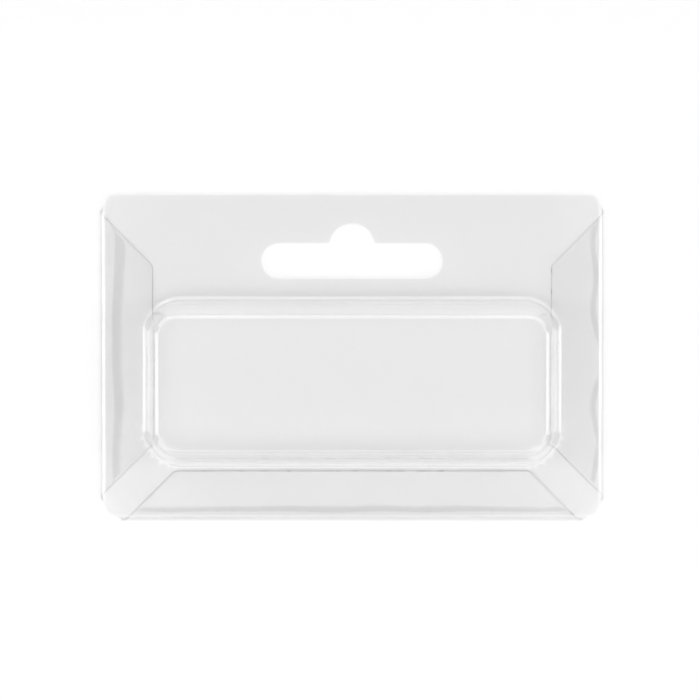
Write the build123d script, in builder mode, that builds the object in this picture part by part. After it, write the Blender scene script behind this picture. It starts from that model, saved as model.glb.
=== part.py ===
from build123d import *
import os
from math import cos, pi, radians, tan

# A slide-card blister tray: one sheet of clear film, drawn into a rectangular blister and hemmed on three
# edges, so that a printed card slides in behind the flange from the open top edge.
# Sizes are in millimetres. The tray lies on its flaps: X runs along the hang slot, Y towards the open top
# edge, and Z up out of the blister. The origin is the middle of the tray's back, on the surface it lies on.

# Sheet and outline
tray_width = 90.0
tray_height = 58.4
film = 0.35
corner_radius = 2.0

# Hems: the card runs in the gap between the flange and the flaps
card_gap = 1.1
side_flap_reach = 9.35
bottom_flap_reach = 8.9
flap_mitre = 45.0
flap_corner_radius = 0.8

# Hang slot, measured down from the open top edge
slot_width = 32.0
slot_height = 6.0
slot_drop = 14.95
hump_radius = 3.9
hump_rise = 3.5
hump_blend = 0.5

# Drawn blister, measured on its outside where the walls meet the flange
side_land = 8.3
bottom_land = 10.2
slot_land = 4.0
blister_depth = 14.0
blister_corner = 6.2
wall_draft = 9.2
shoulder_radius = 0.9
crown_radius = 1.2

# Levels of the hemmed sheet, upwards from the surface it lies on
bend_radius = film + card_gap / 2
channel_roof = film + card_gap
flange_top = channel_roof + film

# The flat flange, between the lines where the bends begin
top_edge = tray_height / 2
side_line = tray_width / 2 - bend_radius
bottom_line = bend_radius - tray_height / 2
flange_height = top_edge - bottom_line
flange_middle = (top_edge + bottom_line) / 2

# Places that follow from the lands
slot_bottom = top_edge - slot_drop
slot_middle = slot_bottom + slot_height / 2
blister_length = tray_width - 2 * side_land
blister_top = slot_bottom - slot_land
blister_bottom = bottom_land - tray_height / 2
blister_width = blister_top - blister_bottom
blister_middle = (blister_top + blister_bottom) / 2


def drawn_form(skin):
    """The bed and plug that the film is drawn over, grown by skin: the sheet lies between skins 0 and film."""
    under = film - skin
    inset = under * (1 / cos(radians(wall_draft)) - tan(radians(wall_draft)))
    bed_level = channel_roof + skin
    with BuildPart() as form:
        with BuildSketch():
            with Locations((0, flange_middle)):
                RectangleRounded(2 * side_line, flange_height, corner_radius)
        extrude(amount=bed_level)
        with BuildSketch(Plane.XY.offset(bed_level)):
            with Locations((0, blister_middle)):
                RectangleRounded(
                    blister_length - 2 * inset, blister_width - 2 * inset, blister_corner - inset
                )
        extrude(amount=blister_depth, taper=wall_draft)
        fillet(form.faces().sort_by(Axis.Z)[-1].edges(), crown_radius - under)
        bed = form.faces().filter_by(Axis.Z).sort_by(Axis.Z)[-2]
        fillet(bed.inner_wires()[0].edges(), shoulder_radius + under)
    return form.part


def hem(section, front_half, reach):
    """A folded edge: a half-round bend, and the mitred flap behind it.

    section stands across the fold, on the line where the bend begins: its x points outwards, its z runs
    along the fold. The ends of the bend are raked, so that the mitre carries on round it.
    """
    back_half = front_half - pi * (bend_radius - film / 2)
    flap_depth = reach - bend_radius
    inner_half = back_half - flap_depth * tan(radians(flap_mitre))
    with BuildPart() as folded:
        with BuildSketch(section):
            with BuildLine():
                CenterArc((0, bend_radius), bend_radius, -90, 180)
                CenterArc((0, bend_radius), card_gap / 2, -90, 180)
                Line((0, 0), (0, film))
                Line((0, channel_roof), (0, flange_top))
            make_face()
        extrude(amount=front_half, both=True)
        with BuildSketch(Plane(section.origin, x_dir=section.z_dir, z_dir=-section.x_dir)):
            with BuildLine() as rake:
                Polyline(
                    (0, 0), (back_half, 0), (back_half, film),
                    (front_half, channel_roof), (front_half, flange_top), (0, flange_top),
                )
                mirror(about=Plane.YZ)
            make_face()
        extrude(amount=2 * bend_radius, both=True, mode=Mode.INTERSECT)
        with BuildSketch(Plane(section.origin, x_dir=section.z_dir, z_dir=(0, 0, 1))) as flap:
            with BuildLine():
                Polyline(
                    (-back_half, 0), (back_half, 0), (inner_half, -flap_depth), (-inner_half, -flap_depth),
                    close=True,
                )
            make_face()
            fillet(flap.vertices().group_by(Axis((0, 0, 0), -section.x_dir))[-1], flap_corner_radius)
        extrude(amount=film)
    return folded.part


# Where each hem begins on the flange, and how far it runs either way along its edge
side_front_half = flange_height / 2 - corner_radius
bottom_front_half = side_line - corner_radius
left_section = Plane((-side_line, flange_middle, 0), x_dir=(-1, 0, 0), z_dir=(0, 1, 0))
right_section = Plane((side_line, flange_middle, 0), x_dir=(1, 0, 0), z_dir=(0, -1, 0))
bottom_section = Plane((0, bottom_line, 0), x_dir=(0, -1, 0), z_dir=(-1, 0, 0))

with BuildPart() as blister_tray:
    # Flange and blister, one skin of even thickness
    add(drawn_form(film))
    add(drawn_form(0), mode=Mode.SUBTRACT)

    # Hang slot, with a hump over its middle for the peg
    with BuildSketch(Plane.XY.offset(channel_roof)) as hang_slot:
        with Locations((0, slot_middle)):
            SlotOverall(slot_width, slot_height)
        with Locations((0, slot_bottom + slot_height + hump_rise - hump_radius)):
            Circle(hump_radius)
        shoulders = hang_slot.vertices().group_by(Axis.Y)[-1].sort_by(lambda corner: abs(corner.X))[:2]
        fillet(shoulders, hump_blend)
    extrude(amount=film, mode=Mode.SUBTRACT)

    # Hems behind the left, right and bottom edges
    add(hem(left_section, side_front_half, side_flap_reach))
    add(hem(right_section, side_front_half, side_flap_reach))
    add(hem(bottom_section, bottom_front_half, bottom_flap_reach))

blister_tray.part.label = "blister_tray"

os.makedirs("parts", exist_ok=True)
export_step(blister_tray.part, "parts/blister_tray.step")
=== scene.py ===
from math import atan2, cos, pi, radians, sin, sqrt, tan
from typing import NamedTuple

import bmesh
import bpy
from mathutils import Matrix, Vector, noise
from mathutils.geometry import delaunay_2d_cdt


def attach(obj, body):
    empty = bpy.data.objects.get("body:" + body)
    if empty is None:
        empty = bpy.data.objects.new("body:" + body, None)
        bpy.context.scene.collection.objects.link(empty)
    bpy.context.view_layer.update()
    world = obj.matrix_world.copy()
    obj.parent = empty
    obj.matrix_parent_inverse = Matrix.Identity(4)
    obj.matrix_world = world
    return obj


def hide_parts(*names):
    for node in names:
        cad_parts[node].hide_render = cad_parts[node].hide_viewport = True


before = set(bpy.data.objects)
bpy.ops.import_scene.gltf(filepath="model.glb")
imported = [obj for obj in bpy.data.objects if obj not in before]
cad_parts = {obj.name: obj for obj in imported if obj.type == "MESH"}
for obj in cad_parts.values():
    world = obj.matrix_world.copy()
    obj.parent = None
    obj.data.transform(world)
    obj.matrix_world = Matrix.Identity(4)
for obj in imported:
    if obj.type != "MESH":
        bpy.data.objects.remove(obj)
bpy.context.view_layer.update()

# A clear slide-card blister tray, lying on its flaps on a white table and seen from straight above.
# The sheet is built as its middle surface, in millimetres, and then given its thickness.

MM = 0.001

# Sheet and outline, as in the CAD
TRAY_WIDTH = 90.0
TRAY_HEIGHT = 58.4
FILM = 0.35
CORNER_RADIUS = 2.0

# Hems
CARD_GAP = 1.1
SIDE_FLAP_REACH = 9.35
BOTTOM_FLAP_REACH = 8.9
FLAP_MITRE = pi / 4
FLAP_CORNER_RADIUS = 0.8

# Hang slot
SLOT_WIDTH = 32.0
SLOT_HEIGHT = 6.0
SLOT_DROP = 14.95
HUMP_RADIUS = 3.9
HUMP_RISE = 3.5
HUMP_BLEND = 0.5

# Drawn blister
SIDE_LAND = 8.3
BOTTOM_LAND = 10.2
SLOT_LAND = 4.0
BLISTER_DEPTH = 14.0
BLISTER_CORNER = 6.2
WALL_DRAFT = radians(9.2)
SHOULDER_RADIUS = 0.9
CROWN_RADIUS = 1.2

# What follows from them, on the sheet's middle surface
BEND_RADIUS = FILM + CARD_GAP / 2
BEND_MIDDLE = BEND_RADIUS - FILM / 2
FLANGE_LEVEL = 1.5 * FILM + CARD_GAP
TOP_EDGE = TRAY_HEIGHT / 2
SIDE_LINE = TRAY_WIDTH / 2 - BEND_RADIUS
BOTTOM_LINE = BEND_RADIUS - TRAY_HEIGHT / 2
FLANGE_MIDDLE = (TOP_EDGE + BOTTOM_LINE) / 2
FLANGE_HALF = (TOP_EDGE - BOTTOM_LINE) / 2
SIDE_FRONT_HALF = FLANGE_HALF - CORNER_RADIUS
BOTTOM_FRONT_HALF = SIDE_LINE - CORNER_RADIUS
SLOT_BOTTOM = TOP_EDGE - SLOT_DROP
BLISTER_TOP = SLOT_BOTTOM - SLOT_LAND
BLISTER_BOTTOM = BOTTOM_LAND - TRAY_HEIGHT / 2
BLISTER_MIDDLE = (BLISTER_TOP + BLISTER_BOTTOM) / 2
WALL_INSET = FILM / 2 * (1 / cos(WALL_DRAFT) - tan(WALL_DRAFT))
BASE_HALF_X = TRAY_WIDTH / 2 - SIDE_LAND - WALL_INSET
BASE_HALF_Y = (BLISTER_TOP - BLISTER_BOTTOM) / 2 - WALL_INSET
BASE_CORNER = BLISTER_CORNER - WALL_INSET

# Fineness of the mesh
GRID_STEP = 1.2
GRID_CLEARANCE = 0.55 * GRID_STEP
CORNER_STEPS = 24
FLANGE_CORNER_STEPS = 10
FILLET_STEPS = 14
WALL_STEP = 1.2
BEND_STEPS = 20
FLAP_STEP = 0.5
FLAP_CORNER_STEPS = 6
SLOT_STEP = 0.5
SLOT_END_STEPS = 24
HUMP_STEPS = 18
HUMP_BLEND_STEPS = 8
RIM_BAND = 0.3
WELD = 0.002

# Cut edges: their rounding, how sharp an edge is rounded, and the place in the piece's list of materials of
# the cut-edge material, which paints shade along the cut edges of the bends and flaps
CUT_ROUND = 0.1
CUT_ROUND_STEPS = 3
ROUND_PROFILE = 0.5
SHARP_TURN = radians(50)
SHADED_CUT_SLOT = 1

# Film: its tint face on, at a cut edge and along the inside of a wall, its roughness, and the share of light
# that goes straight through it.
# A cut edge is frosted, and its tint is darker than the film's to paint the shade along the cut edges of the
# bends and flaps, where they meet the table.
FILM_TINT = (0.974, 0.97, 0.973)
CUT_TINT_AND_SHADE = (0.72, 0.71, 0.72)
WALL_TINT = (0.93, 0.925, 0.93)
FILM_ROUGHNESS = 0.05
CUT_ROUGHNESS = 0.35
FILM_PASS = 0.95
CUT_PASS = 0.7

# A sheet this thin reflects as plastic does but hardly bends what is seen through it
SHEET_IOR = 1.001
SURFACE_IOR = 1.57
MIRROR_FACE_ON = 0.05
MIRROR_ROUGHNESS = 0.1
GRAZING_POWER = 5.0

# How far light goes inside the sheet before the wall's tint begins to show, and where it shows in full
SHORT_PATH = 2 * FILM
LONG_PATH = 14 * FILM

# Unevenness of the polish and faint ripples in it: patches per metre, and the ripples' height
NOISE_RANGE = (0.3, 0.7)
NOISE_DETAIL = 3
POLISH_SCALE = 350
POLISH_SPREAD = 0.5
RIPPLE_SCALE = 130
RIPPLE = 0.015

# Table, in metres
TABLE_HALF = 3.0
TABLE_LEVEL = -0.0001
TABLE_WHITE = (0.985, 0.985, 0.985, 1)
TABLE_ROUGHNESS = 0.9

# Brightness of the studio dome by degrees from straight up: dark by the camera, a pale ring, soft sides
DOME = [(0.5, 0.1), (6.5, 0.1), (8.5, 1.7), (18, 1.5), (30, 0.32), (64, 0.27), (74, 0.05), (89, 0.05)]

# Softboxes round the tray: their height and, for those on the diagonals, how far out they stand, in metres
SOFTBOX_HEIGHT = 0.8
DIAGONAL = 0.64

# Camera: its distance, how far north it stands, the point that it looks at, the scale of its picture, and
# the nearest and furthest that it sees, in metres
CAMERA_DISTANCE = 424
CAMERA_NORTH = 8.7
VIEW_X = -0.37
VIEW_Y = 1.365
VIEW_LEVEL = 1.8
PIXELS_PER_MM = 5.604
PICTURE_PIXELS = 700
SENSOR_WIDTH = 36.0
CLIP_RANGE = (0.01, 20)


class FlapLie(NamedTuple):
    """How a flap lies: it meets the table in a valley near its bend, and springs up beyond it.

    The valley's distance from the bend wanders along the flap. Where it comes out negative, there is none.
    """

    valley: float
    wander: float
    wander_run: float
    noise_start: float
    spring: float


LEFT_FLAP = FlapLie(valley=2.5, wander=0.875, wander_run=9.0, noise_start=0.0, spring=radians(2.8))
RIGHT_FLAP = FlapLie(valley=0.35, wander=2.0, wander_run=8.0, noise_start=173.5, spring=radians(3.6))
BOTTOM_FLAP = FlapLie(valley=1.0, wander=0.35, wander_run=9.0, noise_start=0.0, spring=radians(3.6))

# The slope of a flap as it leaves its bend, the length over which its spring sets in, and how uneven the
# spring is, and over what length
FLAP_ENTRY = radians(14)
FLAP_CURVE = 1.5
SPRING_UNEVEN = 0.35
SPRING_RUN = 9.0


def arc(centre, radius, start, end, steps):
    """Points on an arc, both ends included."""
    turns = [start + (end - start) * i / steps for i in range(steps + 1)]
    return [(centre[0] + radius * cos(t), centre[1] + radius * sin(t)) for t in turns]


def line(start, end, step):
    """Points on a straight run, both ends included."""
    length = sqrt((end[0] - start[0]) ** 2 + (end[1] - start[1]) ** 2)
    steps = max(1, round(length / step))
    return [
        (start[0] + (end[0] - start[0]) * i / steps, start[1] + (end[1] - start[1]) * i / steps)
        for i in range(steps + 1)
    ]


def chain(*runs):
    """Runs joined end to end into one closed loop, without repeated points."""
    points = []
    for run in runs:
        for point in run:
            if not points or (Vector(point) - Vector(points[-1])).length > WELD:
                points.append(point)
    if (Vector(points[0]) - Vector(points[-1])).length < WELD:
        points.pop()
    return points


def rounded_loop(half_x, half_y, radius, middle_y, corner_steps):
    """Points round a rounded rectangle, anticlockwise from the foot of its right side."""
    cx = half_x - radius
    cy = half_y - radius
    low, high = middle_y - cy, middle_y + cy
    return chain(
        line((half_x, low), (half_x, high), GRID_STEP),
        arc((cx, high), radius, 0, pi / 2, corner_steps),
        line((cx, middle_y + half_y), (-cx, middle_y + half_y), GRID_STEP),
        arc((-cx, high), radius, pi / 2, pi, corner_steps),
        line((-half_x, high), (-half_x, low), GRID_STEP),
        arc((-cx, low), radius, pi, 1.5 * pi, corner_steps),
        line((-cx, middle_y - half_y), (cx, middle_y - half_y), GRID_STEP),
        arc((cx, low), radius, 1.5 * pi, 2 * pi, corner_steps),
    )


def flange_outline(inward):
    """The flat flange up to the lines where the bends begin, or so far inward of them."""
    return rounded_loop(
        SIDE_LINE - inward, FLANGE_HALF - inward, CORNER_RADIUS - inward, FLANGE_MIDDLE, FLANGE_CORNER_STEPS
    )


def slot_outline(outward):
    """The hang slot, or a line so far outward of it: round ends and a blended hump, anticlockwise."""
    end_radius = SLOT_HEIGHT / 2
    top = SLOT_BOTTOM + SLOT_HEIGHT
    end_x = SLOT_WIDTH / 2 - end_radius
    hump_y = top + HUMP_RISE - HUMP_RADIUS
    blend_y = top + HUMP_BLEND
    blend_x = sqrt((HUMP_RADIUS + HUMP_BLEND) ** 2 - (blend_y - hump_y) ** 2)
    lift = atan2(blend_y - hump_y, blend_x)
    right = chain(
        arc((end_x, SLOT_BOTTOM + end_radius), end_radius + outward, -pi / 2, pi / 2, SLOT_END_STEPS),
        line((end_x, top + outward), (blend_x, top + outward), SLOT_STEP),
        arc((blend_x, blend_y), HUMP_BLEND - outward, -pi / 2, lift - pi, HUMP_BLEND_STEPS),
        arc((0, hump_y), HUMP_RADIUS + outward, lift, pi / 2, HUMP_STEPS),
    )
    left = [(-x, y) for x, y in reversed(right)]
    bottom = SLOT_BOTTOM - outward
    return chain(right, left, line((-end_x, bottom), (end_x, bottom), SLOT_STEP))


def blister_loop(inward):
    """The blister's outline, so far inward of its base."""
    return rounded_loop(
        BASE_HALF_X - inward, BASE_HALF_Y - inward, BASE_CORNER - inward, BLISTER_MIDDLE, CORNER_STEPS
    )


def wall_profile():
    """The drawn wall from the flange over the shoulder and crown to the face: (inward, upward) points."""
    lean = pi / 2 - WALL_DRAFT
    shoulder = SHOULDER_RADIUS + FILM / 2
    crown = CROWN_RADIUS - FILM / 2
    foot = (-shoulder * tan(lean / 2), shoulder)
    brow = (BLISTER_DEPTH * tan(WALL_DRAFT) + crown * tan(lean / 2), BLISTER_DEPTH - crown)
    up = arc(foot, shoulder, -pi / 2, lean - pi / 2, FILLET_STEPS)
    over = arc(brow, crown, pi / 2 + lean, pi / 2, FILLET_STEPS)
    return up + line(up[-1], over[0], WALL_STEP)[1:-1] + over


def inside(point, loop):
    """True if the point is inside the closed loop."""
    x, y = point
    found = False
    for (x0, y0), (x1, y1) in zip(loop, loop[1:] + loop[:1]):
        if (y0 > y) != (y1 > y) and x < x0 + (x1 - x0) * (y - y0) / (y1 - y0):
            found = not found
    return found


def in_field(point, outer, holes):
    """True if the point is inside the outer loop and in none of the holes."""
    return inside(point, outer) and not any(inside(point, hole) for hole in holes)


def clear_of(point, loops, distance):
    """True if the point is further than that from every point of the loops."""
    return all(
        (point[0] - x) ** 2 + (point[1] - y) ** 2 > distance ** 2 for loop in loops for x, y in loop
    )


def grid_points(outer, holes):
    """A staggered grid of points between the outer loop and the holes, clear of them all."""
    xs = [x for x, _ in outer]
    ys = [y for _, y in outer]
    columns = int((max(xs) - min(xs)) / GRID_STEP)
    rows = int((max(ys) - min(ys)) / GRID_STEP)
    points = []
    for row in range(rows + 1):
        stagger = GRID_STEP / 2 if row % 2 else 0
        for column in range(columns + 1):
            point = (min(xs) + column * GRID_STEP + stagger, min(ys) + row * GRID_STEP)
            if in_field(point, outer, holes) and clear_of(point, [outer, *holes], GRID_CLEARANCE):
                points.append(Vector(point))
    return points


def flat_field(mesh, outer, holes, level):
    """Fills the area between the outer loop and the holes with triangles at one level."""
    points = []
    edges = []
    for loop in [outer, *holes]:
        first = len(points)
        points += [Vector(point) for point in loop]
        edges += [(first + i, first + (i + 1) % len(loop)) for i in range(len(loop))]
    points += grid_points(outer, holes)
    found, _, triangles, *_ = delaunay_2d_cdt(points, edges, [], 0, WELD / 10)
    corners = [mesh.verts.new((point.x, point.y, level)) for point in found]
    for triangle in triangles:
        middle = sum((found[i] for i in triangle), Vector((0, 0))) / 3
        if in_field(middle, outer, holes):
            mesh.faces.new([corners[i] for i in triangle])


def stitch(mesh, loops):
    """Faces between each closed loop and the next: (outline, level) pairs with as many points each."""
    rings = [[mesh.verts.new((x, y, level)) for x, y in outline] for outline, level in loops]
    count = len(rings[0])
    for first, second in zip(rings, rings[1:]):
        for i in range(count):
            j = (i + 1) % count
            mesh.faces.new((first[i], first[j], second[j], second[i]))


def flap_rows(back_half, depth):
    """Steps inwards along the flap's mitre and round its corner: (inward, half length) pairs.

    A mitre of 45 degrees takes as much off the flap's half length as the step goes inwards.
    """
    tangent = FLAP_CORNER_RADIUS * tan(FLAP_MITRE / 2)
    start = depth - tangent * sin(FLAP_MITRE)
    straight = max(1, round(start / FLAP_STEP))
    rows = [(start * i / straight, back_half - start * i / straight) for i in range(1, straight + 1)]
    centre = (back_half - depth - tangent, depth - FLAP_CORNER_RADIUS)
    corner = arc(centre, FLAP_CORNER_RADIUS, FLAP_MITRE, pi / 2, FLAP_CORNER_STEPS)
    return rows + [(inward, along) for along, inward in corner[1:]]


def hem_rows(front_half, reach):
    """Steps round a hem's bend and along its flap: (outward, upward, half length, share of the lift)."""
    rows = []
    for i in range(BEND_STEPS + 1):
        turn = pi * i / BEND_STEPS
        out = BEND_MIDDLE * sin(turn)
        up = BEND_RADIUS + BEND_MIDDLE * cos(turn)
        rows.append((out, up, front_half - BEND_MIDDLE * turn, (1 - cos(turn)) / 2))
    for inward, half in flap_rows(front_half - pi * BEND_MIDDLE, reach - BEND_RADIUS):
        rows.append((-inward, FILM / 2, half, 1))
    return rows


def flap_lift(inward, valley, spring):
    """How high a flap lies: down from its bend to a valley on the table, then springing up."""
    past = inward - valley
    if past < 0:
        return tan(FLAP_ENTRY) * past ** 2 / (2 * valley)
    if past < FLAP_CURVE:
        return tan(spring) * past ** 2 / (2 * FLAP_CURVE)
    return tan(spring) * (past - FLAP_CURVE / 2)


def hem(mesh, middle, outward, along, front_half, reach, lie):
    """A folded edge: rows of the mesh round the bend, then along the flap to its cut edge."""
    columns = round(2 * front_half / GRID_STEP)
    grid = []
    for out, up, half, share in hem_rows(front_half, reach):
        row = []
        for column in range(columns + 1):
            run = half * (2 * column / columns - 1)
            x = middle[0] + outward[0] * out + along[0] * run
            y = middle[1] + outward[1] * out + along[1] * run
            valley = lie.valley + lie.wander * noise.noise((run / lie.wander_run + lie.noise_start, *middle))
            spring = lie.spring * (1 + SPRING_UNEVEN * noise.noise((run / SPRING_RUN, *middle)))
            lift = share * flap_lift(max(0, -out), valley, spring)
            row.append(mesh.verts.new((x, y, up + lift)))
        grid.append(row)
    for first, second in zip(grid, grid[1:]):
        for i in range(columns):
            mesh.faces.new((first[i], second[i], second[i + 1], first[i + 1]))


def below_flange(face):
    """True for a face of the bends or flaps."""
    return face.calc_center_median().z < FLANGE_LEVEL - FILM


def thicken(mesh):
    """Gives the middle surface its thickness and rounds the cut edges."""
    bmesh.ops.recalc_face_normals(mesh, faces=mesh.faces)
    for vert in mesh.verts:
        vert.co += vert.normal * vert.calc_shell_factor() * FILM / 2
    bmesh.ops.solidify(mesh, geom=mesh.faces[:], thickness=FILM)
    bmesh.ops.recalc_face_normals(mesh, faces=mesh.faces)
    sharp = {edge for edge in mesh.edges if edge.calc_face_angle(0) > SHARP_TURN}
    # The cut edges of the bends and flaps take the cut-edge material, frosted and darkened to paint the shade
    # where they meet the table
    for face in mesh.faces:
        if below_flange(face) and len(sharp.intersection(face.edges)) > 1:
            face.material_index = SHADED_CUT_SLOT
    rounds = bmesh.ops.bevel(
        mesh, geom=list(sharp), offset=CUT_ROUND, offset_type="OFFSET", segments=CUT_ROUND_STEPS,
        profile=ROUND_PROFILE, affect="EDGES", material=-1,
    )
    for face in rounds["faces"]:
        if below_flange(face):
            face.material_index = SHADED_CUT_SLOT


def fill_sheet(mesh):
    """The sheet's middle surface: flange, slot, blister and hems."""
    profile = wall_profile()
    foot = profile[0][0]
    brow, rise = profile[-1]
    stitch(mesh, [(flange_outline(inward), FLANGE_LEVEL) for inward in (0, RIM_BAND)])
    stitch(mesh, [(slot_outline(outward), FLANGE_LEVEL) for outward in (0, RIM_BAND)])
    flat_field(mesh, flange_outline(RIM_BAND), [slot_outline(RIM_BAND), blister_loop(foot)], FLANGE_LEVEL)
    stitch(mesh, [(blister_loop(inward), FLANGE_LEVEL + upward) for inward, upward in profile])
    flat_field(mesh, blister_loop(brow), [], FLANGE_LEVEL + rise)
    hem(mesh, (-SIDE_LINE, FLANGE_MIDDLE), (-1, 0), (0, 1), SIDE_FRONT_HALF, SIDE_FLAP_REACH, LEFT_FLAP)
    hem(mesh, (SIDE_LINE, FLANGE_MIDDLE), (1, 0), (0, -1), SIDE_FRONT_HALF, SIDE_FLAP_REACH, RIGHT_FLAP)
    hem(mesh, (0, BOTTOM_LINE), (0, -1), (-1, 0), BOTTOM_FRONT_HALF, BOTTOM_FLAP_REACH, BOTTOM_FLAP)
    bmesh.ops.remove_doubles(mesh, verts=mesh.verts, dist=WELD)


def make_tray():
    """The whole sheet as one mesh: its middle surface first, then its thickness."""
    mesh = bmesh.new()
    fill_sheet(mesh)
    thicken(mesh)
    bmesh.ops.scale(mesh, vec=(MM, MM, MM), verts=mesh.verts)
    data = bpy.data.meshes.new("blister_tray_film")
    mesh.to_mesh(data)
    mesh.free()
    data.shade_smooth()
    tray = bpy.data.objects.new("blister_tray_film", data)
    bpy.context.scene.collection.objects.link(tray)
    tray.modifiers.new("flat_normals", "WEIGHTED_NORMAL")
    return tray


def remap(tree, value, start=(0, 1), end=(0, 1)):
    """Carries a value over from one range to another, and keeps it inside that."""
    ranges = tree.nodes.new("ShaderNodeMapRange")
    ranges.inputs["From Min"].default_value, ranges.inputs["From Max"].default_value = start
    ranges.inputs["To Min"].default_value, ranges.inputs["To Max"].default_value = end
    tree.links.new(value, ranges.inputs["Value"])
    return ranges.outputs["Result"]


def calculate(tree, operation, first):
    """A calculation with two values, of which the second is still to be set."""
    node = tree.nodes.new("ShaderNodeMath")
    node.operation = operation
    tree.links.new(first, node.inputs[0])
    return node


def mix_shaders(tree, share, first, second):
    """The first surface, and the second in its place by that share."""
    mix = tree.nodes.new("ShaderNodeMixShader")
    for socket, source in zip(mix.inputs, (share, first, second)):
        tree.links.new(source, socket)
    return mix.outputs[0]


def soft_noise(tree, scale, low, high):
    """A smooth uneven value between low and high, fixed to the piece."""
    place = tree.nodes.new("ShaderNodeTexCoord")
    cloud = tree.nodes.new("ShaderNodeTexNoise")
    cloud.inputs["Scale"].default_value = scale
    cloud.inputs["Detail"].default_value = NOISE_DETAIL
    tree.links.new(place.outputs["Object"], cloud.inputs["Vector"])
    return remap(tree, cloud.outputs["Fac"], NOISE_RANGE, (low, high))


def long_path_tint(tree, tint_and_shade):
    """The tint that it is given, which for the cut edges of the bends and flaps is darkened to paint shade,
    or the wall's where light has gone a long way inside the sheet.
    """
    path = tree.nodes.new("ShaderNodeLightPath")
    leaving = tree.nodes.new("ShaderNodeNewGeometry")
    gone = remap(tree, path.outputs["Ray Length"], (SHORT_PATH * MM, LONG_PATH * MM))
    inside_only = calculate(tree, "MULTIPLY", gone)
    tree.links.new(leaving.outputs["Backfacing"], inside_only.inputs[1])
    colour = tree.nodes.new("ShaderNodeMix")
    colour.data_type = "RGBA"
    tree.links.new(inside_only.outputs[0], colour.inputs["Factor"])
    colour.inputs["A"].default_value = (*tint_and_shade, 1)
    colour.inputs["B"].default_value = (*WALL_TINT, 1)
    return colour.outputs["Result"]


def dress_clear(tree, tint_and_shade, roughness):
    """The film as the eye sees it: clear, with a glossy surface that ripples a little."""
    clear = tree.nodes["Principled BSDF"]
    clear.inputs["Transmission Weight"].default_value = 1.0
    clear.inputs["IOR"].default_value = SHEET_IOR
    clear.inputs["Coat Weight"].default_value = 1.0
    clear.inputs["Coat IOR"].default_value = SURFACE_IOR
    clear.inputs["Coat Roughness"].default_value = roughness
    polish = soft_noise(tree, POLISH_SCALE, (1 - POLISH_SPREAD) * roughness, (1 + POLISH_SPREAD) * roughness)
    tree.links.new(polish, clear.inputs["Roughness"])
    ripple = tree.nodes.new("ShaderNodeBump")
    ripple.inputs["Strength"].default_value = 1.0
    ripple.inputs["Distance"].default_value = RIPPLE * MM
    tree.links.new(soft_noise(tree, RIPPLE_SCALE, 0, 1), ripple.inputs["Height"])
    tree.links.new(ripple.outputs[0], clear.inputs["Coat Normal"])
    tree.links.new(long_path_tint(tree, tint_and_shade), clear.inputs["Base Color"])
    return clear.outputs[0]


def film_material(name, tint_and_shade, roughness, straight_pass):
    """Clear film: glass to the eye, and a thin pane to the light that goes through it to the table."""
    material = bpy.data.materials.new(name)
    material.use_nodes = True
    tree = material.node_tree
    clear = dress_clear(tree, tint_and_shade, roughness)
    facing = tree.nodes.new("ShaderNodeLayerWeight")
    grazing = calculate(tree, "POWER", facing.outputs["Facing"])
    grazing.inputs[1].default_value = GRAZING_POWER
    pane = tree.nodes.new("ShaderNodeBsdfTransparent")
    tree.links.new(remap(tree, grazing.outputs[0], end=(straight_pass, 0)), pane.inputs["Color"])
    glance = tree.nodes.new("ShaderNodeBsdfGlossy")
    glance.inputs["Roughness"].default_value = MIRROR_ROUGHNESS
    mirrored = remap(tree, grazing.outputs[0], end=(MIRROR_FACE_ON, 1))
    sheet = mix_shaders(tree, mirrored, pane.outputs[0], glance.outputs[0])
    path = tree.nodes.new("ShaderNodeLightPath")
    seen = mix_shaders(tree, path.outputs["Is Diffuse Ray"], clear, sheet)
    film = mix_shaders(tree, path.outputs["Is Shadow Ray"], seen, pane.outputs[0])
    tree.links.new(film, tree.nodes["Material Output"].inputs["Surface"])
    return material


def make_floor():
    """A plain white table, far larger than the tray."""
    data = bpy.data.meshes.new("table")
    corners = [(x * TABLE_HALF, y * TABLE_HALF, TABLE_LEVEL) for x, y in ((-1, -1), (1, -1), (1, 1), (-1, 1))]
    data.from_pydata(corners, [], [(0, 1, 2, 3)])
    floor = bpy.data.objects.new("table", data)
    bpy.context.scene.collection.objects.link(floor)
    material = bpy.data.materials.new("table_white")
    material.use_nodes = True
    shader = material.node_tree.nodes["Principled BSDF"]
    shader.inputs["Base Color"].default_value = TABLE_WHITE
    shader.inputs["Roughness"].default_value = TABLE_ROUGHNESS
    shader.inputs["Specular IOR Level"].default_value = 0.0
    floor.data.materials.append(material)


def make_dome():
    """A studio dome, dark round the camera, then pale, and soft towards its foot."""
    world = bpy.data.worlds.new("studio")
    bpy.context.scene.world = world
    world.use_nodes = True
    nodes = world.node_tree.nodes
    link = world.node_tree.links.new
    direction = nodes.new("ShaderNodeTexCoord")
    height = nodes.new("ShaderNodeSeparateXYZ")
    link(direction.outputs["Generated"], height.inputs[0])
    shade = nodes.new("ShaderNodeValToRGB")
    link(height.outputs["Z"], shade.inputs[0])
    ramp = shade.color_ramp.elements
    for angle, level in DOME:
        stop = ramp.new(cos(radians(angle)))
        stop.color = (level, level, level, 1)
    ramp.remove(ramp[0])
    ramp.remove(ramp[-1])
    link(shade.outputs[0], nodes["Background"].inputs["Color"])


def softbox(name, place, size, power, lighting=True, mirrored=True):
    """A soft light turned to the tray, which lights the table or not and shows in the film or not."""
    data = bpy.data.lights.new(name, "AREA")
    data.shape = "RECTANGLE"
    data.size, data.size_y = size
    data.energy = power
    lamp = bpy.data.objects.new(name, data)
    bpy.context.scene.collection.objects.link(lamp)
    lamp.location = place
    lamp.rotation_euler = (Vector((0, 0, 0)) - Vector(place)).to_track_quat("-Z", "Y").to_euler()
    lamp.visible_diffuse = lighting
    lamp.visible_glossy = mirrored
    lamp.visible_transmission = mirrored


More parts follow.
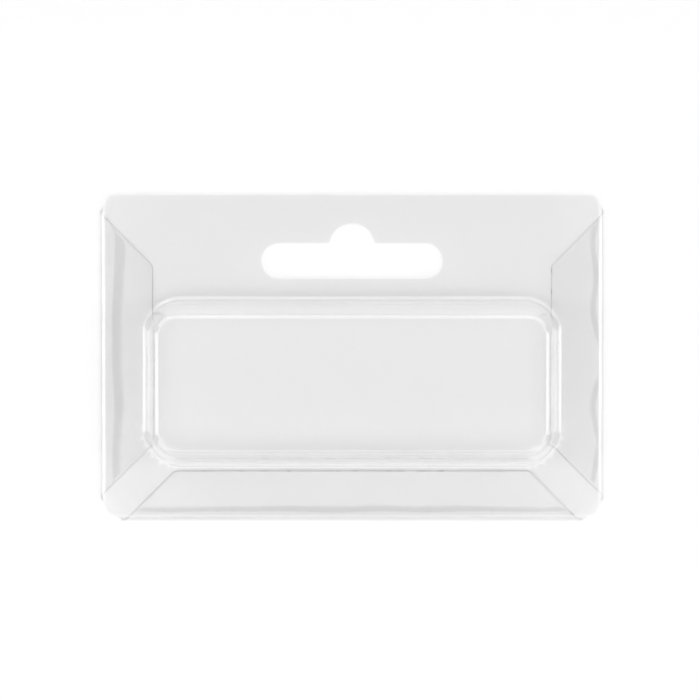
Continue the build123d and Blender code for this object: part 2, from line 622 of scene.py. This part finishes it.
def make_lamps():
    """Two lamps overhead to the south that only light the table, one on either side that lights it and shows
    in the film, and seven that only show in the film.
    """
    softbox("overhead_key", (0.0, -0.28, 1.3), size=(0.6, 0.3), power=4.7, mirrored=False)
    softbox("overhead_south", (0.0, -0.95, 1.35), size=(2.2, 1.6), power=4.4, mirrored=False)
    softbox("softbox_left", (-0.9, 0.0, SOFTBOX_HEIGHT), size=(0.26, 0.9), power=2.6)
    softbox("softbox_right", (0.9, 0.0, SOFTBOX_HEIGHT), size=(0.26, 0.9), power=2.6)
    softbox("softbox_north", (0.0, 0.9, SOFTBOX_HEIGHT), size=(1.2, 0.3), power=6.5, lighting=False)
    softbox("softbox_south", (0.0, -1.1, 0.35), size=(1.2, 0.3), power=2.6, lighting=False)
    softbox("overhead_low", (0.0, -0.27, 1.2), size=(0.4, 0.14), power=0.09, lighting=False)
    for name, east, north in (("nw", -1, 1), ("ne", 1, 1), ("sw", -1, -1), ("se", 1, -1)):
        place = (east * DIAGONAL, north * DIAGONAL, SOFTBOX_HEIGHT)
        softbox(f"softbox_{name}", place, size=(0.6, 0.3), power=3.0, lighting=False)


def make_camera():
    """A camera straight above the tray, a little to the north, turned to the middle of the picture."""
    data = bpy.data.cameras.new("camera")
    camera = bpy.data.objects.new("camera", data)
    bpy.context.scene.collection.objects.link(camera)
    distance = CAMERA_DISTANCE * MM
    camera.location = (VIEW_X * MM, CAMERA_NORTH * MM, VIEW_LEVEL * MM + distance)
    camera.rotation_euler = (-atan2((CAMERA_NORTH - VIEW_Y) * MM, distance), 0, 0)
    data.sensor_width = SENSOR_WIDTH
    data.lens = SENSOR_WIDTH * distance / (PICTURE_PIXELS / PIXELS_PER_MM * MM)
    data.clip_start, data.clip_end = CLIP_RANGE
    bpy.context.scene.camera = camera


tray = make_tray()
clear_film = film_material("clear_film", FILM_TINT, FILM_ROUGHNESS, FILM_PASS)
# The cut-edge material: frosted, and darker to paint the shade along the cut edges of the bends and flaps
shaded_cut_edge = film_material("shaded_cut_edge", CUT_TINT_AND_SHADE, CUT_ROUGHNESS, CUT_PASS)
for material in (clear_film, shaded_cut_edge):
    tray.data.materials.append(material)
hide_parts("blister_tray")
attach(tray, "root")
make_floor()
make_dome()
make_lamps()
make_camera()
bpy.context.scene.view_settings.view_transform = "Standard"
